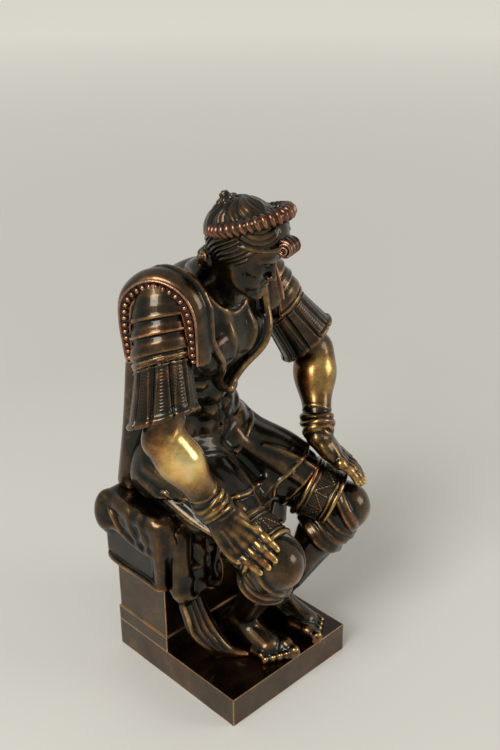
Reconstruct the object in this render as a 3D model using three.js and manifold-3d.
// A seated bronze figure in antique parade dress, on a block seat and a low square base.
// It is built as the founder builds it: hollow and solid castings with sleeve joints, pins and screws.
// Millimetres. +Z is up, -Y is the figure's front, +X is the figure's left.
import * as THREE from "three";
import { mergeVertices } from "three/addons/utils/BufferGeometryUtils.js";
import Module from "manifold-3d";

const wasm = await Module();
wasm.setup();

// Clearances
const seam = 0.3; // gap kept between two castings that meet on a curved face
const pinFit = 0.15; // gap round a pin, a screw or the tie rod

// Base plate, hollow below
const baseWidth = 64;
const baseDepth = 70;
const baseHeight = 13;
const baseRim = 3.4; // thickness of the upright rim
const baseDeck = 4; // thickness of the top plate

// Seat block, flush with the back and the sides of the base
const seatDepth = 31;
const seatHeight = 60;
const seatWall = 3;
const seatPost = 7.5; // side of the square screw posts in the corners
const plinthHeight = 7; // step round the foot of the block
const plinthStep = 0.6;

// Cloth over the seat
const clothThickness = 3.5;
const clothDrop = 31; // how far its sides hang down the block
const clothClearance = 0.3;

// Figure: seat, hips and legs
const hipSpread = 12; // hip joint to the middle plane
const hipSetback = 19; // hip joint behind the middle of the base
const seatFlesh = 13; // hip joint above the cloth
const thighLength = 59;
const thighRadius = 13;
const kneeRadius = 9.6;
const bandLength = 13; // tooled band above the knee
const bandRim = 0.8; // height of the rims of the band
const skirtShare = 0.59; // where the hem of the skirt lies on top of the thigh, from the hip
const skirtStandOff = 2; // hem above the thigh
const skirtWebRadius = 5.2; // half the thickness of the skirt between the thighs
const skirtWebRise = 4; // its middle above the middle of the thighs
const skirtSag = 5.5; // how much deeper it hangs at the knees than at the hips
const kneeHeight = 51; // knee joint above the base plate
const rightThighYaw = -5; // degrees, outwards
const leftThighYaw = 33;
const ankleHeight = 9.5;
const ankleRadius = 5.2;
const calfRadius = 8.4;
const calfDrop = 0.32; // share of the shin from the knee to the thickest part of the calf
const rightFootOut = 2; // heel to the middle plane
const leftFootOut = 17;
const heelSetback = -6;
const rightFootYaw = 2;
const leftFootYaw = 8;
const footLength = 31;
const footWidth = 13;
const toeRadius = 2.3;

// Figure: torso, neck and head
const spineLean = 14.5; // degrees forward
const backBow = 4; // how far the back bows out behind the line from pelvis to neck
const torsoLength = 79; // pelvis to the pit of the neck
const sideBow = 2.5; // how far the back bows out to the figure's right
const torsoYaw = 8; // degrees to the figure's left
const shoulderTilt = 7; // degrees, left side down
const shoulderSpread = 28.5;
const shoulderDrop = 10; // shoulder joint below the pit of the neck
const chestHalfWidth = 25;
const chestHalfDepth = 17;
const chestHalfHeight = 26;
const waistRadius = 12.5;
const waistAcross = 1.25; // width of the waist over its depth
const pelvisHalfWidth = 24;
const pelvisHalfDepth = 14.5;
const waistSeamRise = 15; // seam between torso and lap, above the hip joint
const lapCore = 8; // radius of the hollow inside the lap
const torsoWall = 3;
const borderRadius = 1.5; // rolled border that runs down the breast
const neckRadius = 7.6;
const neckLength = 17;
const neckTilt = 40; // degrees forward of upright
const headPitch = 10; // degrees down
const headYaw = 18; // degrees to the figure's left
const faceTilt = 14; // degrees that the face is bowed below the line of the skull
const skullHalfWidth = 10.2;
const skullHalfDepth = 12.6;
const skullHalfHeight = 12.2;
const helmetWall = 1.9;
const brimRadius = 2.7;
const brimTilt = 27; // degrees, front up
const brimRise = 10; // middle of the ribbed roll above the middle of the head
const finialTilt = 36; // degrees behind the crown
const finialRadius = 2.4;

// Figure: arms and hands
const upperArmLength = 45;
const forearmLength = 37;
const shoulderRadius = 8.2;
const elbowRadius = 7;
const wristRadius = 4.9;
const palmLength = 13;
const palmHalfWidth = 6.2;
const palmHalfDepth = 3.4;
const fingerLength = 12;
const fingerRadius = 1.75;
const rightWristShare = 0.6; // where the wrist lies along the thigh, from the hip
const leftWristShare = 0.6;
const rightWristRoll = 46; // degrees from straight above the thigh, outwards
const leftWristRoll = 10;

// Shoulder guards, sleeve straps and cloak
const guardThickness = 3;
const guardReach = 17.9; // length of the guard down the arm, at its side
const guardSlope = 0.28; // how much further it reaches behind, per millimetre of depth
const strapStart = 14; // top of the straps under the guard
const strapReach = 24.5; // length of the straps, at the side of the arm
const strapSlope = 0.374; // how much further they reach behind, per millimetre of depth
const strapFlare = 4.2; // how far their ends stand off the arm
const strapThickness = 2.2;
const cloakRadius = 4.6; // half the thickness of the cloak
const foldDepth = 0.8; // how far it lies back between its folds
const cloakHalfWidth = 19;
const cloakBladeLevel = 0.75; // where it passes the shoulder blades, from the seat to the neck
const cloakRollRadius = 2.3; // of its rolled upper edge
const tailRadius = 3;

// Fasteners
const rodRadius = 2;
const rodBridge = 6; // height of the bridge in the torso that the tie rod screws into
const washerRadius = 5;
const washerThickness = 1;
const nutRadius = 4;
const nutHeight = 3.2;
const screwRadius = 1.5;
const screwHeadRadius = 2.8;
const screwHeadHeight = 1.8;
const screwGrip = 10; // length of a screw inside what it holds
const footScrewGrip = 4.5;
const footScrewShare = 0.22; // where it stands along the foot, from the heel
const tailScrewIn = 11; // from the outer strand of the tail
const tailScrewOut = 8.6; // from the cloth on the seat
const pinRadius = 1.2;
const pinDepth = 1.8; // how deep the end of a shoulder pin lies under the guard
const neckTenonRadius = 4.6;
const kneeTenonRadius = 4.2;
const kneeTenonLength = 9;

// Fineness of the curved faces
const limbSides = 10;
const limbRings = 2;
const fingerSides = 6;
const fingerRings = 1;
const ballSides = 14;
const ballRings = 7;

const colours = {
  castBronze: { color: 0x35291c, roughness: 0.34, metalness: 0.9 },
  goldenBronze: { color: 0x7c5a2c, roughness: 0.3, metalness: 0.95 },
  russetBronze: { color: 0x6b3a20, roughness: 0.3, metalness: 0.9 },
  plainBronze: { color: 0x3c3020, roughness: 0.42, metalness: 0.85 },
  brassFixings: { color: 0xa98a4a, roughness: 0.35, metalness: 1.0 },
};
const materials = Object.fromEntries(
  Object.entries(colours).map(([name, look]) => [name, new THREE.MeshStandardMaterial({ name, ...look })]),
);

// Basic tools

const v3 = (x, y, z) => new THREE.Vector3(x, y, z);
const up = v3(0, 0, 1);
const left = v3(1, 0, 0);
const radians = THREE.MathUtils.degToRad;
const between = (a, b, share) => a.clone().lerp(b, share);
const beyond = (a, direction, distance) => a.clone().addScaledVector(direction, distance);
const directionTo = (a, b) => b.clone().sub(a).normalize();

// A closed geometry as a solid that can be joined and cut.
function solid(geometry, matrix = new THREE.Matrix4()) {
  const bare = geometry.clone().applyMatrix4(matrix);
  bare.deleteAttribute("normal");
  bare.deleteAttribute("uv");
  const merged = mergeVertices(bare, 1e-4);
  return new wasm.Manifold(
    new wasm.Mesh({
      numProp: 3,
      vertProperties: merged.attributes.position.array,
      triVerts: new Uint32Array(merged.index.array),
    }),
  );
}

const join = (...solids) => solids.flat(Infinity).reduce((whole, next) => whole.add(next));
const cut = (whole, ...tools) => tools.flat().reduce((rest, tool) => rest.subtract(tool), whole);

// Slivers that a cut leaves loose are brushed off, as a founder files them off.
function brushed(whole) {
  const bodies = whole.decompose();
  return bodies.reduce((largest, next) => (next.volume() > largest.volume() ? next : largest));
}

// The frame whose Y axis runs along direction and whose X axis lies as near as it can to side.
function frameAlong(origin, direction, side) {
  const y = direction.clone().normalize();
  const z = side.clone().cross(y).normalize();
  const x = y.clone().cross(z);
  return new THREE.Matrix4().makeBasis(x, y, z).setPosition(origin);
}

const box = (low, high) =>
  solid(
    new THREE.BoxGeometry(high.x - low.x, high.y - low.y, high.z - low.z),
    new THREE.Matrix4().setPosition(low.clone().add(high).multiplyScalar(0.5)),
  );

// A round bar between two points, with flat ends.
function bar(from, to, radius, sides = limbSides) {
  const length = from.distanceTo(to);
  const frame = frameAlong(between(from, to, 0.5), directionTo(from, to), pickSide(from, to));
  return solid(new THREE.CylinderGeometry(radius, radius, length, sides), frame);
}

function pickSide(from, to) {
  const direction = directionTo(from, to);
  return Math.abs(direction.dot(left)) > 0.9 ? up : left;
}

// A limb: two balls of their own radii and the cone that is tangent to both, widened across by flat.
function limb(from, to, fromRadius, toRadius, options = {}) {
  const { sides = limbSides, rings = limbRings, across = 1, side = pickSide(from, to) } = options;
  const length = from.distanceTo(to);
  const slope = Math.asin(THREE.MathUtils.clamp((fromRadius - toRadius) / length, -0.95, 0.95));
  const profile = [];
  for (let i = 0; i <= rings; i++) {
    const angle = THREE.MathUtils.lerp(-Math.PI / 2, slope, i / rings);
    profile.push(new THREE.Vector2(fromRadius * Math.cos(angle), fromRadius * Math.sin(angle)));
  }
  for (let i = 0; i <= rings; i++) {
    const angle = THREE.MathUtils.lerp(slope, Math.PI / 2, i / rings);
    profile.push(new THREE.Vector2(toRadius * Math.cos(angle), length + toRadius * Math.sin(angle)));
  }
  profile[0].x = 0;
  profile[profile.length - 1].x = 0;
  const frame = frameAlong(from, directionTo(from, to), side).multiply(new THREE.Matrix4().makeScale(across, 1, 1));
  return solid(new THREE.LatheGeometry(profile, sides), frame);
}

// A strand through some points: limbs along a smooth curve, with radii that change from end to end.
function strand(points, radii, grow, steps) {
  const marks = new THREE.CatmullRomCurve3(points).getPoints(steps);
  const radiusAt = (step) => {
    const place = (step / steps) * (radii.length - 1);
    const first = Math.min(Math.floor(place), radii.length - 2);
    return THREE.MathUtils.lerp(radii[first], radii[first + 1], place - first) + grow;
  };
  return marks
    .slice(1)
    .map((mark, i) =>
      limb(marks[i], mark, radiusAt(i), radiusAt(i + 1), { sides: fingerSides, rings: fingerRings }),
    );
}

// An egg-shaped mass with its own half sizes, in a frame of its own.
function mass(frame, offset, halves, sides = ballSides, rings = ballRings) {
  const matrix = frame.clone().multiply(new THREE.Matrix4().makeTranslation(offset.x, offset.y, offset.z));
  matrix.multiply(new THREE.Matrix4().makeScale(halves.x, halves.y, halves.z));
  return solid(new THREE.SphereGeometry(1, sides, rings), matrix);
}

// Both bones of an arm: the elbow that lies towards pole, at the given lengths from both ends.
function elbowOf(shoulder, wrist, upper, lower, pole) {
  const span = wrist.clone().sub(shoulder);
  const reach = Math.min(span.length(), (upper + lower) * 0.999);
  const along = span.clone().normalize();
  const foot = (upper * upper - lower * lower + reach * reach) / (2 * reach);
  const height = Math.sqrt(Math.max(0, upper * upper - foot * foot));
  const outward = pole.clone().addScaledVector(along, -pole.dot(along)).normalize();
  return beyond(beyond(shoulder, along, foot), outward, height);
}

const heading = (degrees) => v3(Math.sin(radians(degrees)), -Math.cos(radians(degrees)), 0);

// Landmarks of the seat and the figure

const baseTopZ = baseHeight;
const seatTopZ = baseTopZ + seatHeight;
const seatFrontY = baseDepth / 2 - seatDepth;
const clothTopZ = seatTopZ + clothThickness;
const clothHemZ = clothTopZ - clothDrop;
const clothFrontY = seatFrontY - clothClearance - clothThickness;
const hipZ = clothTopZ + seatFlesh;
const kneeZ = baseTopZ + kneeHeight;
const pelvis = v3(0, hipSetback, hipZ + 3);
const rodY = hipSetback - 2;

// One leg: hip, knee and ankle, and where the foot points.
function legLandmarks(side, thighYaw, footOut, footYaw) {
  const hip = v3(side * hipSpread, hipSetback, hipZ);
  const drop = hipZ - kneeZ;
  const run = Math.sqrt(thighLength * thighLength - drop * drop);
  const knee = beyond(hip, heading(side * thighYaw), run).setZ(kneeZ);
  const heel = v3(side * footOut, heelSetback, baseTopZ + ankleRadius);
  const toeward = heading(side * footYaw);
  const ankle = beyond(heel, toeward, ankleRadius * 0.7).setZ(baseTopZ + ankleHeight);
  return { side, hip, knee, heel, ankle, toeward };
}
const rightLegPlace = legLandmarks(-1, rightThighYaw, rightFootOut, rightFootYaw);
const leftLegPlace = legLandmarks(1, leftThighYaw, leftFootOut, leftFootYaw);

const spine = v3(0, -Math.sin(radians(spineLean)), Math.cos(radians(spineLean)));
const neckPit = beyond(pelvis, spine, torsoLength);
const torsoLeft = left.clone().applyAxisAngle(spine, radians(torsoYaw));
const torsoFrame = new THREE.Matrix4()
  .makeBasis(torsoLeft, spine.clone().cross(torsoLeft), spine)
  .setPosition(pelvis);
const inTorso = (x, y, z) => v3(x, y, z).applyMatrix4(torsoFrame);
const shoulderLine = (x, y = 0) =>
  inTorso(x, y + backBow, torsoLength - shoulderDrop - x * Math.tan(radians(shoulderTilt)));
const chestRise = torsoLength - shoulderDrop - chestHalfHeight * 0.7;
const waistSeamZ = hipZ + waistSeamRise;
const neckDirection = v3(0, -Math.sin(radians(neckTilt)), Math.cos(radians(neckTilt)));
const headCentre = beyond(neckPit, neckDirection, neckLength);
const headFrame = new THREE.Matrix4()
  .makeRotationFromEuler(new THREE.Euler(radians(headPitch), 0, radians(headYaw), "ZXY"))
  .setPosition(headCentre);
const inHead = (x, y, z) => v3(x, y, z).applyMatrix4(headFrame);
const skullCentre = v3(0, 1.5, 3.2);
const faceFrame = headFrame
  .clone()
  .multiply(new THREE.Matrix4().setPosition(skullCentre))
  .multiply(new THREE.Matrix4().makeRotationX(radians(faceTilt)))
  .multiply(new THREE.Matrix4().setPosition(skullCentre.clone().negate()));
const inFace = (x, y, z) => v3(x, y, z).applyMatrix4(faceFrame);

// One arm: shoulder, elbow and wrist, and the way the hand lies on the thigh.
function armLandmarks(leg, share, roll, pole) {
  const side = leg.side;
  const shoulder = shoulderLine(side * shoulderSpread);
  const along = directionTo(leg.hip, leg.knee);
  const lift = THREE.MathUtils.lerp(thighRadius, kneeRadius, share) + palmHalfDepth + wristRadius + 2;
  const outward = along.clone().cross(up).multiplyScalar(-side).normalize();
  const away = outward.clone().applyAxisAngle(along, side * radians(90 - roll));
  const wrist = beyond(between(leg.hip, leg.knee, share), away, lift);
  const elbow = elbowOf(shoulder, wrist, upperArmLength, forearmLength, pole);
  const knuckle = beyond(beyond(wrist, along, palmLength), away, -wristRadius - 0.6);
  const across = directionTo(wrist, knuckle).cross(away).normalize();
  return { side, shoulder, elbow, wrist, along, away, knuckle, across };
}
const rightArmPlace = armLandmarks(rightLegPlace, rightWristShare, rightWristRoll, v3(-1, 0.3, 0));
const leftArmPlace = armLandmarks(leftLegPlace, leftWristShare, leftWristRoll, v3(1, 0.35, 0));

// Forms of the castings. Each takes grow, by which it is thickened all over when it is used as a cutter.

const chestAt = v3(-sideBow, backBow, chestRise);
const waistTop = inTorso(-sideBow, backBow, chestRise);

function torsoForm(grow = 0) {
  const g = grow;
  const breast = (side) => inTorso(side * 8 - sideBow, backBow - chestHalfDepth - 0.5, chestRise + 3);
  const breastPoint = inTorso(-sideBow, backBow - chestHalfDepth - 0.5, chestRise - 11);
  const neckBase = inTorso(0, backBow + 1, torsoLength - 9);
  const border = { sides: fingerSides, rings: fingerRings };
  return join(
    mass(torsoFrame, chestAt, v3(chestHalfWidth + g, chestHalfDepth + g, chestHalfHeight + g)),
    mass(torsoFrame, v3(-sideBow, backBow - 9, chestRise + 3), v3(19 + g, 9 + g, 12 + g), limbSides, 6),
    limb(inTorso(0, 1, 8), waistTop, waistRadius + 1 + g, waistRadius + g, { across: waistAcross }),
    limb(neckBase, beyond(neckPit, neckDirection, 1), 12 + g, neckRadius + 1.6 + g),
    [-1, 1].flatMap((side) => [
      limb(neckBase, shoulderLine(side * (shoulderSpread - 8)), 12 + g, 10.5 + g),
      limb(shoulderLine(side * 14, -9), breast(side), borderRadius + g, borderRadius + g, border),
      limb(breast(side), breastPoint, borderRadius + g, borderRadius + g, border),
    ]),
  );
}

function thighEnd(leg) {
  return beyond(leg.knee, directionTo(leg.knee, leg.hip), kneeRadius * 0.55);
}

// A point beside a thigh: its share from the hip to the knee, and its angle from the top, outwards.
function roundThigh(leg, share, angle, radius) {
  const along = directionTo(leg.hip, leg.knee);
  const outward = along.clone().cross(up).multiplyScalar(-leg.side).normalize();
  const away = outward.clone().applyAxisAngle(along, leg.side * radians(90 - angle));
  return beyond(between(leg.hip, leg.knee, share), away, radius);
}

// The skirt between the thighs: rolls of cloth that lie across it and sag more towards the knees.
function skirtWeb(grow) {
  const radius = skirtWebRadius + grow;
  const options = { sides: fingerSides, rings: fingerRings };
  return [0.06, 0.17, 0.28, 0.39, 0.5].map((share) => {
    const [right, leftEnd] = [rightLegPlace, leftLegPlace].map((leg) => roundThigh(leg, share, 0, skirtWebRise));
    const sag = skirtSag * (0.45 + share);
    const low = between(right, leftEnd, 0.5).add(v3(0, 0, -sag));
    const lowRadius = radius - 0.8;
    return join(limb(right, low, radius, lowRadius, options), limb(low, leftEnd, lowRadius, radius, options));
  });
}

// The hem of the skirt round one thigh, as shares of the thigh at angles from its top.
const skirtHem = [
  [-90, 0.8],
  [-55, 0.9],
  [-28, 0.97],
  [-8, 1],
  [14, 0.97],
  [36, 0.86],
  [60, 0.66],
  [80, 0.47],
  [100, 0.27],
  [120, 0.03],
];
// Folds that run down the thigh: their angle at the hip and their radius.
const skirtFolds = [
  [52, 1.6],
  [74, 2],
  [97, 2.3],
  [121, 2.2],
  [-42, 1.4],
];
const foldTurn = -22; // degrees that a fold turns inwards along the whole thigh

// The skirt on one thigh: it hangs down to the seat outside, and its hem is raised over the thigh.
function skirtForm(leg, grow) {
  const g = grow;
  const skirtEnd = between(leg.hip, leg.knee, skirtShare - 0.06);
  const thighAt = (share) => THREE.MathUtils.lerp(thighRadius, kneeRadius, share * 0.7);
  const hem = skirtHem.map(([angle, share]) =>
    roundThigh(leg, share * skirtShare, angle, thighAt(share * skirtShare) + skirtStandOff),
  );
  const folds = skirtFolds.map(([angle, radius]) => {
    const points = [0, 0.2, 0.44, 0.62].map((share) =>
      roundThigh(leg, share, angle + foldTurn * share, thighAt(share) + skirtStandOff - 0.6),
    );
    return strand(points, [0.6, radius, radius, 0.7], g, 3);
  });
  const outer = roundThigh(leg, 0, 122, 11);
  const outerEnd = roundThigh(leg, 0.4, 118, 10);
  return join(
    limb(leg.hip, skirtEnd, thighRadius + 1.8 + g, thighRadius + 0.6 + g),
    limb(outer, outerEnd, 5.6 + g, 4.6 + g),
    strand(hem, [1.2, 1.4, 1.4, 1.2], g, 7),
    folds,
  );
}

function lapForm(grow = 0) {
  const g = grow;
  const thigh = (leg) => {
    const end = thighEnd(leg);
    const along = directionTo(leg.hip, leg.knee);
    const bandRadius = kneeRadius + 1.6 + g;
    const rim = (share) => {
      const at = beyond(end, along, -bandLength * share);
      return bar(beyond(at, along, -0.8 - g), beyond(at, along, 0.8 + g), bandRadius + bandRim);
    };
    const whole = join(
      limb(leg.hip, end, thighRadius + g, kneeRadius + 1 + g),
      skirtForm(leg, g),
      bar(beyond(end, along, -bandLength - g), beyond(end, along, g), bandRadius),
      rim(0.08),
      rim(0.94),
    );
    const past = beyond(end, along, g);
    return cut(whole, bar(past, beyond(past, along, kneeRadius * 3), kneeRadius * 3));
  };
  const waist = beyond(pelvis, spine, waistSeamRise + 4);
  return join(
    mass(torsoFrame, v3(0, 0, 0), v3(pelvisHalfWidth + g, pelvisHalfDepth + g, 17 + g)),
    limb(pelvis, waist, waistRadius + 2 + g, waistRadius + 1 + g, { across: waistAcross }),
    skirtWeb(g),
    thigh(rightLegPlace),
    thigh(leftLegPlace),
  );
}

function legForm(leg, grow = 0) {
  const g = grow;
  const calf = between(leg.knee, leg.ankle, calfDrop);
  const calfBack = beyond(calf, v3(0, 1, 0), 1.5);
  const ball = beyond(leg.heel, leg.toeward, footLength * 0.62).setZ(baseTopZ + 3.4);
  const across = left.clone().applyAxisAngle(up, Math.atan2(leg.toeward.x, -leg.toeward.y));
  const toes = [0, 1, 2, 3, 4].map((step) => {
    const radius = toeRadius * (step ? 0.88 - 0.04 * step : 1.2) + g; // the great toe is the inner one
    const inner = (2 - step) * -leg.side * (footWidth / 5.2);
    const root = beyond(ball, across, inner).setZ(baseTopZ + toeRadius * 1.2);
    const tip = beyond(root, leg.toeward, footLength * (0.3 - 0.035 * step)).setZ(baseTopZ + toeRadius * 0.85);
    return limb(root, tip, radius + 0.2, radius, { sides: fingerSides, rings: fingerRings });
  });
  const shin = directionTo(leg.knee, leg.ankle);
  const whole = join(
    mass(new THREE.Matrix4().setPosition(leg.knee), v3(0, 0, 0), v3(kneeRadius + g, kneeRadius + g, kneeRadius + g)),
    limb(leg.knee, calfBack, kneeRadius - 0.4 + g, calfRadius + g),
    limb(beyond(leg.knee, shin, 7), beyond(leg.knee, shin, 10), kneeRadius + 0.6 + g, kneeRadius + g),
    limb(calfBack, leg.ankle, calfRadius + g, ankleRadius + g),
    limb(leg.heel, leg.ankle, ankleRadius + 0.4 + g, ankleRadius + g),
    limb(leg.ankle, ball, ankleRadius + g, 3.6 + g, { across: 1.35, side: across }),
    limb(leg.heel, ball, ankleRadius + g, 3.4 + g, { across: 1.3, side: across }),
    toes,
  );
  const floor = box(v3(-200, -200, -50), v3(200, 200, baseTopZ - g));
  return cut(whole, floor);
}

function handForm(arm, grow = 0) {
  const g = grow;
  const options = { sides: fingerSides, rings: fingerRings };
  const curl = (point, forward, down) => beyond(beyond(point, arm.along, forward), arm.away, -down);
  const fingers = [-1.5, -0.5, 0.5, 1.5].map((step) => {
    const root = beyond(arm.knuckle, arm.across, step * palmHalfWidth * 0.56);
    const long = fingerLength * (1 - 0.08 * Math.abs(step + 0.5 * arm.side));
    const middle = curl(root, long * 0.5, 0.4);
    const tip = curl(middle, long * 0.42, long * 0.26);
    return join(
      limb(root, middle, fingerRadius + 0.25 + g, fingerRadius + 0.1 + g, options),
      limb(middle, tip, fingerRadius + 0.1 + g, fingerRadius - 0.2 + g, options),
    );
  });
  const inward = arm.across.clone().multiplyScalar(arm.side);
  const thumbRoot = beyond(curl(arm.wrist, palmLength * 0.25, 1), inward, palmHalfWidth * 0.6);
  const thumbMiddle = beyond(curl(thumbRoot, 6, 1.6), inward, 3.2);
  const thumbTip = beyond(curl(thumbMiddle, 6, 1.4), inward, 0.6);
  return join(
    limb(arm.wrist, arm.knuckle, wristRadius * 0.85 + g, palmHalfDepth - 0.4 + g, { across: 1.6, side: arm.across }),
    limb(thumbRoot, thumbMiddle, 2.8 + g, 2.1 + g, options),
    limb(thumbMiddle, thumbTip, 2.1 + g, 1.7 + g, options),
    fingers,
  );
}

function armForm(arm, grow = 0) {
  const g = grow;
  const belly = between(arm.elbow, arm.wrist, 0.28);
  const cuff = between(arm.elbow, arm.wrist, 0.9);
  return join(
    limb(arm.shoulder, arm.elbow, shoulderRadius + g, elbowRadius + g),
    limb(arm.elbow, belly, elbowRadius + g, elbowRadius + 0.7 + g),
    limb(belly, arm.wrist, elbowRadius + 0.7 + g, wristRadius + g),
    limb(between(arm.elbow, arm.wrist, 0.8), cuff, wristRadius + 1.4 + g, wristRadius + 1.3 + g),
    handForm(arm, g),
  );
}

// What lies below a slanted edge round the upper arm: reach at its side, and slope towards the back.
function belowEdge(arm, reach, slope) {
  const down = directionTo(arm.shoulder, arm.elbow);
  const front = v3(0, -1, 0).addScaledVector(down, down.y).normalize();
  const slanted = down.clone().addScaledVector(front, slope).normalize();
  const past = beyond(arm.shoulder, down, reach);
  return bar(past, beyond(past, slanted, 60), shoulderRadius * 5);
}

function guardForm(arm, grow = 0) {
  const g = grow;
  const down = directionTo(arm.shoulder, arm.elbow);
  const crown = beyond(beyond(arm.shoulder, down, -1.5), v3(-arm.side, 0, 0), 1.5);
  const end = beyond(arm.shoulder, down, guardReach);
  const round = { sides: 14, rings: 3 };
  const radius = shoulderRadius + guardThickness + g;
  const whole = join(
    limb(crown, end, radius, radius - 0.6, round),
    limb(crown, beyond(crown, down, 6), radius + 1, radius, round),
  );
  return cut(whole, belowEdge(arm, guardReach + g, guardSlope));
}

// The straps flare from their start to where they hang lowest, behind the arm.
const strapSpan = strapReach + strapSlope * (shoulderRadius + strapFlare) + 1;

function strapCone(arm, wide, narrow, shift, length = strapSpan) {
  const down = directionTo(arm.shoulder, arm.elbow);
  const frame = frameAlong(beyond(arm.shoulder, down, strapStart + strapSpan / 2 + shift), down, left);
  return solid(new THREE.CylinderGeometry(wide, narrow, length, 24), frame);
}

function strapForm(arm, grow = 0) {
  const g = grow;
  const wide = shoulderRadius + strapFlare + g;
  const narrow = shoulderRadius + strapThickness - 1 + g;
  const cone = strapCone(arm, wide, narrow, 0, strapSpan + 2 * g);
  return cut(cone, belowEdge(arm, strapStart + strapReach + g, strapSlope));
}

function headForm(grow = 0) {
  const g = grow;
  const tenonEnd = beyond(neckPit, neckDirection, -10);
  return join(
    mass(headFrame, skullCentre, v3(skullHalfWidth + g, skullHalfDepth + g, skullHalfHeight + g)),
    mass(faceFrame, v3(0, -5.2, -4.4), v3(7.9 + g, 7.2 + g, 10.6 + g), limbSides, 8),
    mass(faceFrame, v3(0, -8.6, -12.2), v3(3.8 + g, 3.4 + g, 3.2 + g), 12, 6),
    limb(inFace(0, -11.6, 0.6), inFace(0, -14.2, -4.6), 1.3 + g, 1.7 + g, { sides: fingerSides, rings: fingerRings }),
    limb(inHead(0, 3, -4), neckPit, neckRadius - 0.4 + g, neckRadius + 0.4 + g),
    bar(tenonEnd, neckPit, neckTenonRadius + g),
  );
}

function helmetForm(grow = 0) {
  const g = grow;
  const wall = helmetWall + g;
  const dome = mass(
    headFrame,
    v3(0, 1.8, 3.6),
    v3(skullHalfWidth + wall, skullHalfDepth + wall, skullHalfHeight + wall),
  );
  const brimFrame = headFrame
    .clone()
    .multiply(new THREE.Matrix4().makeTranslation(0, 0.4, brimRise))
    .multiply(new THREE.Matrix4().makeRotationX(radians(-brimTilt)));
  const below = (drop) => {
    const place = brimFrame.clone().multiply(new THREE.Matrix4().makeTranslation(0, 0, -20 - drop - g));
    return solid(new THREE.BoxGeometry(80, 80, 40), place);
  };
  const front = mass(
    headFrame,
    v3(0, -3.5, 8.2),
    v3(skullHalfWidth + 0.9 + g, skullHalfDepth - 1.6 + g, skullHalfHeight - 4.8 + g),
  );
  const ringDepth = skullHalfDepth + helmetWall - 0.3;
  const ring = new THREE.TorusGeometry(1, (brimRadius + g) / ringDepth, fingerSides, 28);
  const ringScale = new THREE.Matrix4().makeScale(skullHalfWidth + helmetWall - 0.6, ringDepth, ringDepth);
  const brim = solid(ring, brimFrame.clone().multiply(ringScale));
  const peak = mass(headFrame, v3(0, -12.6, 7), v3(5.2 + g, 3.2 + g, 2.4 + g), limbSides, 8);
  const scroll = limb(inHead(-3, -15.2, 5.2), inHead(3, -15.2, 5.2), 3.3 + g, 3.3 + g);
  return join(cut(dome, below(brimRadius)), cut(front, below(brimRadius + 8)), brim, peak, scroll);
}

function clothForm(grow = 0) {
  const half = baseWidth / 2 + clothClearance + clothThickness + grow;
  const outline = new THREE.Shape();
  const backY = baseDepth / 2 + clothClearance + clothThickness + grow;
  const frontY = clothFrontY - grow;
  const corner = clothThickness;
  outline.moveTo(-half + corner, frontY);
  outline.lineTo(half - corner, frontY);
  outline.absarc(half - corner, frontY + corner, corner, -Math.PI / 2, 0);
  outline.absarc(half - corner, backY - corner, corner, 0, Math.PI / 2);
  outline.absarc(-half + corner, backY - corner, corner, Math.PI / 2, Math.PI);
  outline.absarc(-half + corner, frontY + corner, corner, Math.PI, 1.5 * Math.PI);
  const height = clothTopZ - clothHemZ + 2 * grow;
  const slab = new THREE.ExtrudeGeometry(outline, { depth: height, bevelEnabled: false, curveSegments: 4 });
  return solid(slab, new THREE.Matrix4().setPosition(0, 0, clothHemZ - grow));
}

// The strands of drapery that hang from the seat and sweep out over the base.
function tailForm(grow = 0) {
  const g = grow;
  const wallY = clothFrontY - tailRadius - seam;
  const startX = -baseWidth / 2 + tailRadius + 1;
  const heights = (share) => THREE.MathUtils.lerp(baseTopZ, clothHemZ, share);
  const strands = [0, 1, 2].flatMap((n) => {
    const spread = n * tailRadius * 1.15;
    const path = new THREE.CatmullRomCurve3([
      v3(startX + spread, wallY, clothHemZ + 12),
      v3(startX + 1 + spread, wallY - 0.6, heights(0.7)),
      v3(startX + 4 + spread, wallY - 2 - spread * 0.3, heights(0.32)),
      v3(startX + 9 + spread * 0.6, wallY - 8 - spread * 0.5, baseTopZ + tailRadius * 0.9),
      v3(startX + 15 + spread * 0.4, wallY - 17 - spread * 0.6, baseTopZ + tailRadius * 0.5),
    ]);
    const points = path.getSpacedPoints(5);
    return points.slice(1).map((point, i) =>
      limb(points[i], point, tailRadius * (1 - 0.04 * i) + g, tailRadius * (1 - 0.04 * (i + 1)) + g, {
        sides: fingerSides,
        rings: fingerRings,
      }),
    );
  });
  const floor = box(v3(-200, -200, -50), v3(200, 200, baseTopZ - g));
  return cut(join(strands), floor);
}

// Folds of the cloak: their place across it at the seat, the waist, the shoulder blades and the neck,
// their radius and how far they stand out.
const cloakFolds = [
  [-22, -20.5, -19, -17.5, 3, 0.7],
  [-16.5, -15, -13, -10, 3.6, 1.5],
  [-9.5, -10, -9.5, -6, 2.4, 0.6],
  [-3, -4.6, -5.2, -2, 3.6, 1.4],
  [5, 2.4, 0.5, 0, 2.6, 0.7],
  [11.5, 9.4, 6.6, 4, 3.6, 1.5],
  [17, 15.5, 12.8, 9, 2.4, 0.6],
  [22, 20.5, 18.6, 16, 3.2, 1.2],
];
const foldLevels = [0.02, 0.26, 0.62, 0.92]; // from the seat to the neck
// Sagging folds across it: their height over the base, their middle, how much they curve, and how far
// they stand out.
const cloakSwags = [
  [126, -2, 0.034, 1.2],
  [116, 1.5, 0.044, 1.6],
  [104.5, -1, 0.036, 1.3],
];

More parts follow.
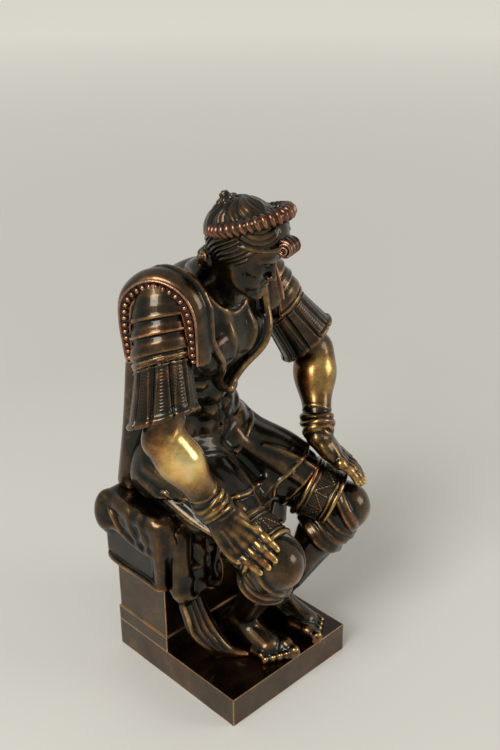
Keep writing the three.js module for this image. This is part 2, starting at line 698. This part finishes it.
// The middle of the cloak's thickness: share across it, and level from the seat to the neck.
function onCloak(share, level) {
  const low = v3(share * (cloakHalfWidth + 2), baseDepth / 2 - 1.4, clothTopZ + 2);
  const middle = inTorso(share * cloakHalfWidth - sideBow, backBow + chestHalfDepth - 2.2, chestRise);
  const top = shoulderLine(share * cloakHalfWidth, 9).add(v3(0, 0, 3.5 - Math.abs(share) * 2));
  return level < cloakBladeLevel
    ? between(low, middle, level / cloakBladeLevel)
    : between(middle, top, (level - cloakBladeLevel) / (1 - cloakBladeLevel));
}

// Which way the cloak's outer side faces at a level.
const cloakOutward = (level) => (level < cloakBladeLevel ? v3(0, 0.99, 0.15) : v3(0, 0.91, 0.41));

// The cloak that falls behind the back in folds, from the shoulders to the seat.
function cloakForm(grow = 0) {
  const g = grow;
  const radius = cloakRadius - foldDepth + g;
  const options = { across: 1.6, sides: 8, rings: fingerRings, side: torsoLeft };
  const body = [-1, -0.5, 0, 0.5, 1].map((share) => {
    const middle = onCloak(share, cloakBladeLevel);
    return join(
      limb(onCloak(share, 1), middle, radius, radius, options),
      limb(middle, onCloak(share, 0), radius, radius, options),
    );
  });
  const folds = cloakFolds.map((fold) => {
    const [size, height] = fold.slice(4);
    const points = foldLevels.map((level, i) => {
      const middle = onCloak(fold[i] / cloakHalfWidth, level).setX(fold[i]);
      return beyond(middle, cloakOutward(level), cloakRadius + height - size);
    });
    return strand(points, [size, size, size * 0.8, size * 0.4], g, 3);
  });
  const topLevel = onCloak(0, cloakBladeLevel).z;
  const swags = cloakSwags.map(([rise, middle, curve, height]) => {
    const points = [-15, -8, 0, 8, 15].map((x) => {
      const z = baseTopZ + rise + curve * x * x;
      const level = (cloakBladeLevel * (z - clothTopZ - 2)) / (topLevel - clothTopZ - 2);
      return beyond(onCloak((middle + x) / cloakHalfWidth, level), cloakOutward(level), cloakRadius + height - 2.4);
    });
    return strand(points, [1, 2.4, 2.4, 1], g, 4);
  });
  const edge = [-23, -17, -9, 0, 9, 17, 23].map((x) =>
    shoulderLine(x, 10.6 - x * x * 0.0155).add(v3(0, 0, 6.6 + 0.005 * x * x)),
  );
  const roll = cloakRollRadius;
  return join(
    body,
    folds,
    swags,
    strand(edge, [roll * 0.6, roll, roll, roll * 0.6], g, 6),
    limb(shoulderLine(-17, 6).add(v3(0, 0, 3)), shoulderLine(17, 6).add(v3(0, 0, 3)), 5.5 + g, 5.5 + g),
  );
}

// Castings

function makeBase() {
  const halfX = baseWidth / 2;
  const halfY = baseDepth / 2;
  const block = box(v3(-halfX, -halfY, 0), v3(halfX, halfY, baseHeight));
  const hollow = box(
    v3(-halfX + baseRim, -halfY + baseRim, -1),
    v3(halfX - baseRim, halfY - baseRim, baseHeight - baseDeck),
  );
  return cut(block, hollow);
}

const seatPostAt = [-1, 1].flatMap((x) =>
  [0, 1].map((back) =>
    v3(
      x * (baseWidth / 2 - seatWall - seatPost / 2 + 0.5),
      back ? baseDepth / 2 - seatWall - seatPost / 2 + 0.5 : seatFrontY + seatWall + seatPost / 2 - 0.5,
      baseTopZ,
    ),
  ),
);

function makeSeat() {
  const halfX = baseWidth / 2 - plinthStep;
  const backY = baseDepth / 2 - plinthStep;
  const low = v3(-halfX, seatFrontY + plinthStep, baseTopZ);
  const block = box(low, v3(halfX, backY, seatTopZ));
  const plinth = box(
    v3(-baseWidth / 2, seatFrontY, baseTopZ),
    v3(baseWidth / 2, baseDepth / 2, baseTopZ + plinthHeight),
  );
  const hollow = box(
    v3(-halfX + seatWall, low.y + seatWall, baseTopZ - 1),
    v3(halfX - seatWall, backY - seatWall, seatTopZ - seatWall),
  );
  const postTop = baseTopZ + screwGrip + 4;
  const half = seatPost / 2;
  const posts = seatPostAt.map((at) => box(v3(at.x - half, at.y - half, baseTopZ), v3(at.x + half, at.y + half, postTop)));
  return join(cut(join(block, plinth), hollow), posts);
}

function makeCloth() {
  const inner = box(
    v3(-baseWidth / 2 - clothClearance, seatFrontY - clothClearance, clothHemZ - 5),
    v3(baseWidth / 2 + clothClearance, baseDepth / 2 + clothClearance, seatTopZ),
  );
  return cut(clothForm(), inner);
}

function makeTorso() {
  const below = box(v3(-200, -200, -50), v3(200, 200, waistSeamZ));
  const w = torsoWall;
  const cavity = join(
    mass(torsoFrame, chestAt, v3(chestHalfWidth - w, chestHalfDepth - w, chestHalfHeight - w), limbSides, 8),
    limb(inTorso(0, 1, 2), waistTop, waistRadius + 1 - w, waistRadius - w, { across: waistAcross }),
  );
  const bridge = box(
    v3(-waistRadius, rodY - rodRadius * 2, waistSeamZ),
    v3(waistRadius, rodY + rodRadius * 2, waistSeamZ + rodBridge),
  );
  const shell = cut(torsoForm(), cavity);
  const others = [headForm(seam), armForm(rightArmPlace, seam), armForm(leftArmPlace, seam)];
  return cut(join(shell, bridge), below, others);
}

function makeLap() {
  const above = box(v3(-200, -200, waistSeamZ), v3(200, 200, 400));
  const core = limb(v3(0, rodY, clothTopZ - 4), v3(0, rodY, hipZ - 4), lapCore, lapCore * 0.8);
  return cut(lapForm(), core, above, clothForm(seam));
}

function kneeTenon(leg, grow = 0) {
  const along = directionTo(leg.knee, leg.hip);
  return bar(leg.knee, beyond(thighEnd(leg), along, kneeTenonLength + grow), kneeTenonRadius + grow);
}

const makeLeg = (leg) => join(cut(legForm(leg), lapForm(seam)), kneeTenon(leg));

function makeArm(arm, leg) {
  return cut(armForm(arm), lapForm(seam), legForm(leg, seam));
}

function makeGuard(arm) {
  return cut(guardForm(arm), torsoForm(seam), armForm(arm, seam));
}

function makeStraps(arm) {
  const wide = shoulderRadius + strapFlare - strapThickness;
  const inside = strapCone(arm, wide, shoulderRadius - 1, strapThickness * 0.7);
  return cut(strapForm(arm), inside, armForm(arm, seam), guardForm(arm, seam), torsoForm(seam), lapForm(seam));
}

function makeHelmet() {
  return cut(helmetForm(), headForm(seam));
}

function makeCloak() {
  const others = [rightArmPlace, leftArmPlace].flatMap((arm) => [
    guardForm(arm, seam),
    strapForm(arm, seam),
    armForm(arm, seam),
  ]);
  return cut(cloakForm(), torsoForm(seam), lapForm(seam), clothForm(seam), headForm(seam), others);
}

function makeTail() {
  return cut(tailForm(), clothForm(seam), lapForm(seam), legForm(rightLegPlace, seam), legForm(leftLegPlace, seam));
}

// Fasteners

// A screw that goes up from the hollow of the base: its head is against the underside of the deck.
function deckScrew(x, y, grip = screwGrip) {
  const deckUnder = baseHeight - baseDeck;
  return {
    shank: (grow = 0) => bar(v3(x, y, deckUnder - 0.5), v3(x, y, baseTopZ + grip + grow), screwRadius + grow, 12),
    head: () => bar(v3(x, y, deckUnder - screwHeadHeight), v3(x, y, deckUnder), screwHeadRadius, 16),
  };
}

const seatScrews = seatPostAt.map((at) => deckScrew(at.x, at.y));
const footScrew = (leg) => {
  const at = beyond(leg.heel, leg.toeward, footLength * footScrewShare);
  return deckScrew(at.x, at.y, footScrewGrip);
};
const footScrews = [footScrew(rightLegPlace), footScrew(leftLegPlace)];
const tailScrew = deckScrew(
  -baseWidth / 2 + tailRadius + tailScrewIn,
  clothFrontY - tailRadius - seam - tailScrewOut,
  tailRadius * 0.8,
);
const deckScrews = [...seatScrews, ...footScrews, tailScrew];

const rodTop = waistSeamZ + rodBridge + 2;
const rodBottom = baseHeight - baseDeck - washerThickness - nutHeight - 1.2;
const tieRod = (grow = 0) => bar(v3(0, rodY, rodBottom - grow), v3(0, rodY, rodTop + grow), rodRadius + grow);
const nutTop = baseHeight - baseDeck - washerThickness;
const makeWasher = () =>
  cut(
    bar(v3(0, rodY, nutTop), v3(0, rodY, nutTop + washerThickness), washerRadius, 24),
    bar(v3(0, rodY, nutTop - 1), v3(0, rodY, nutTop + washerThickness + 1), rodRadius + pinFit),
  );
const makeNut = () =>
  cut(
    bar(v3(0, rodY, nutTop - nutHeight), v3(0, rodY, nutTop), nutRadius, 6),
    bar(v3(0, rodY, nutTop - nutHeight - 1), v3(0, rodY, nutTop + 1), rodRadius + pinFit),
  );

// Cross pins that lock the sleeve joints.
const neckPin = (grow = 0) => {
  const at = beyond(neckPit, neckDirection, -5);
  const half = neckTenonRadius + 3.5 + grow;
  return bar(at.clone().setX(at.x - half), at.clone().setX(at.x + half), pinRadius + grow, 12);
};
const shoulderPin = (arm, grow = 0) => {
  const at = beyond(arm.shoulder, directionTo(arm.shoulder, arm.elbow), 3);
  const outer = at.clone().setX(at.x + arm.side * (shoulderRadius + guardThickness - pinDepth));
  const inner = at.clone().setX(at.x - arm.side * (shoulderRadius + 1.5 + grow));
  return bar(inner, outer, pinRadius + grow, 12);
};
const kneePin = (leg, grow = 0) => {
  const at = beyond(thighEnd(leg), directionTo(leg.knee, leg.hip), kneeTenonLength * 0.55);
  const across = directionTo(leg.hip, leg.knee).cross(up).normalize();
  const half = kneeRadius - 0.8 + grow;
  return bar(beyond(at, across, -half), beyond(at, across, half), pinRadius + grow, 12);
};
const domeCentre = inHead(0, 1.8, 3.6);
const headUp = v3(0, Math.sin(radians(finialTilt)), Math.cos(radians(finialTilt))).transformDirection(headFrame);
const domeReach = skullHalfHeight + helmetWall;
const finialFoot = beyond(domeCentre, headUp, domeReach - 6);
const finialSeat = beyond(domeCentre, headUp, domeReach);
const finialShank = (grow = 0) =>
  bar(beyond(finialFoot, headUp, -grow), beyond(finialSeat, headUp, 0.6), pinRadius + grow, 12);
// A rivet through the straps into the upper arm, on the outer side.
const strapRivet = (arm, grow = 0) => {
  const at = beyond(arm.shoulder, directionTo(arm.shoulder, arm.elbow), guardReach + 4);
  const outer = at.clone().setX(at.x + arm.side * (shoulderRadius + 1));
  const inner = at.clone().setX(at.x + arm.side * (elbowRadius - 3 - grow));
  return bar(inner, outer, pinRadius + grow, 12);
};
// A rivet through the cloak into the back of the torso.
const cloakRivet = (side, grow = 0) => {
  const at = (y) => inTorso(side * cloakHalfWidth * 0.34, backBow + y, chestRise + 2);
  return bar(at(chestHalfDepth - torsoWall - 1.6 - grow), at(chestHalfDepth + 1), pinRadius + grow, 12);
};
const makeFinial = () => {
  const knob = limb(
    beyond(finialSeat, headUp, finialRadius * 0.5),
    beyond(finialSeat, headUp, finialRadius + 0.8),
    finialRadius,
    finialRadius * 0.8,
  );
  return cut(join(finialShank(), knob), helmetForm(seam).subtract(finialShank(pinFit)));
};

// Assembly

const shape = {};
shape.base_plate = cut(makeBase(), deckScrews.map((screw) => screw.shank(pinFit)), tieRod(pinFit));
shape.seat_block = cut(makeSeat(), seatScrews.map((screw) => screw.shank(pinFit)), tieRod(pinFit));
shape.seat_cloth = cut(makeCloth(), tieRod(pinFit));
shape.cloak_tail = cut(makeTail(), tailScrew.shank(pinFit));
shape.lap = cut(makeLap(), tieRod(pinFit), [rightLegPlace, leftLegPlace].map((leg) => kneeTenon(leg, pinFit)));
shape.lap = cut(shape.lap, [rightLegPlace, leftLegPlace].map((leg) => kneePin(leg, pinFit)));
shape.right_leg = cut(makeLeg(rightLegPlace), footScrews[0].shank(pinFit), kneePin(rightLegPlace, pinFit));
shape.left_leg = cut(makeLeg(leftLegPlace), footScrews[1].shank(pinFit), kneePin(leftLegPlace, pinFit));
shape.torso = cut(makeTorso(), neckPin(pinFit), shoulderPin(rightArmPlace, pinFit), shoulderPin(leftArmPlace, pinFit));
shape.torso = cut(shape.torso, tieRod(pinFit), cloakRivet(-1, pinFit), cloakRivet(1, pinFit));
shape.right_arm = cut(
  makeArm(rightArmPlace, rightLegPlace),
  shoulderPin(rightArmPlace, pinFit),
  strapRivet(rightArmPlace, pinFit),
);
shape.left_arm = cut(
  makeArm(leftArmPlace, leftLegPlace),
  shoulderPin(leftArmPlace, pinFit),
  strapRivet(leftArmPlace, pinFit),
);
shape.right_shoulder_guard = cut(makeGuard(rightArmPlace), shoulderPin(rightArmPlace, pinFit));
shape.left_shoulder_guard = cut(makeGuard(leftArmPlace), shoulderPin(leftArmPlace, pinFit));
shape.right_sleeve_straps = cut(makeStraps(rightArmPlace), strapRivet(rightArmPlace, pinFit));
shape.left_sleeve_straps = cut(makeStraps(leftArmPlace), strapRivet(leftArmPlace, pinFit));
shape.head = cut(headForm(), neckPin(pinFit), finialShank(pinFit));
shape.helmet = cut(makeHelmet(), finialShank(pinFit));
shape.back_cloak = cut(makeCloak(), cloakRivet(-1, pinFit), cloakRivet(1, pinFit));
shape.tie_rod = tieRod();
shape.tie_rod_washer = makeWasher();
shape.tie_rod_nut = makeNut();
seatScrews.forEach((screw, i) => {
  shape["seat_screw_" + (i + 1)] = join(screw.shank(), screw.head());
});
shape.right_foot_screw = join(footScrews[0].shank(), footScrews[0].head());
shape.left_foot_screw = join(footScrews[1].shank(), footScrews[1].head());
shape.cloak_tail_screw = join(tailScrew.shank(), tailScrew.head());
shape.neck_pin = neckPin();
shape.right_shoulder_pin = shoulderPin(rightArmPlace);
shape.left_shoulder_pin = shoulderPin(leftArmPlace);
shape.right_knee_pin = kneePin(rightLegPlace);
shape.left_knee_pin = kneePin(leftLegPlace);
shape.right_strap_rivet = strapRivet(rightArmPlace);
shape.left_strap_rivet = strapRivet(leftArmPlace);
shape.right_cloak_rivet = cloakRivet(-1);
shape.left_cloak_rivet = cloakRivet(1);
shape.helmet_finial = makeFinial();

const finish = {
  base_plate: "plainBronze",
  seat_block: "plainBronze",
  right_arm: "goldenBronze",
  left_arm: "goldenBronze",
  helmet: "russetBronze",
  helmet_finial: "russetBronze",
};

function meshOf(name, whole) {
  const { numProp, vertProperties, triVerts } = brushed(whole).getMesh();
  const positions = new Float32Array((vertProperties.length / numProp) * 3);
  for (let i = 0; i < positions.length / 3; i++) {
    positions.set(vertProperties.subarray(i * numProp, i * numProp + 3), i * 3);
  }
  const geometry = new THREE.BufferGeometry();
  geometry.setAttribute("position", new THREE.BufferAttribute(positions, 3));
  geometry.setIndex(new THREE.BufferAttribute(new Uint32Array(triVerts), 1));
  geometry.computeVertexNormals();
  const isFixing = /screw|pin|rod|nut|washer|rivet/.test(name);
  const mesh = new THREE.Mesh(geometry, materials[finish[name] ?? (isFixing ? "brassFixings" : "castBronze")]);
  mesh.name = name;
  return mesh;
}

const statue = new THREE.Group();
Object.entries(shape).forEach(([name, whole]) => statue.add(meshOf(name, whole)));

// The origin is under the middle of the whole statue's outline.
const outline = new THREE.Box3().setFromObject(statue);
const middle = outline.getCenter(v3(0, 0, 0));
statue.position.set(-middle.x, -middle.y, 0);

export default statue;
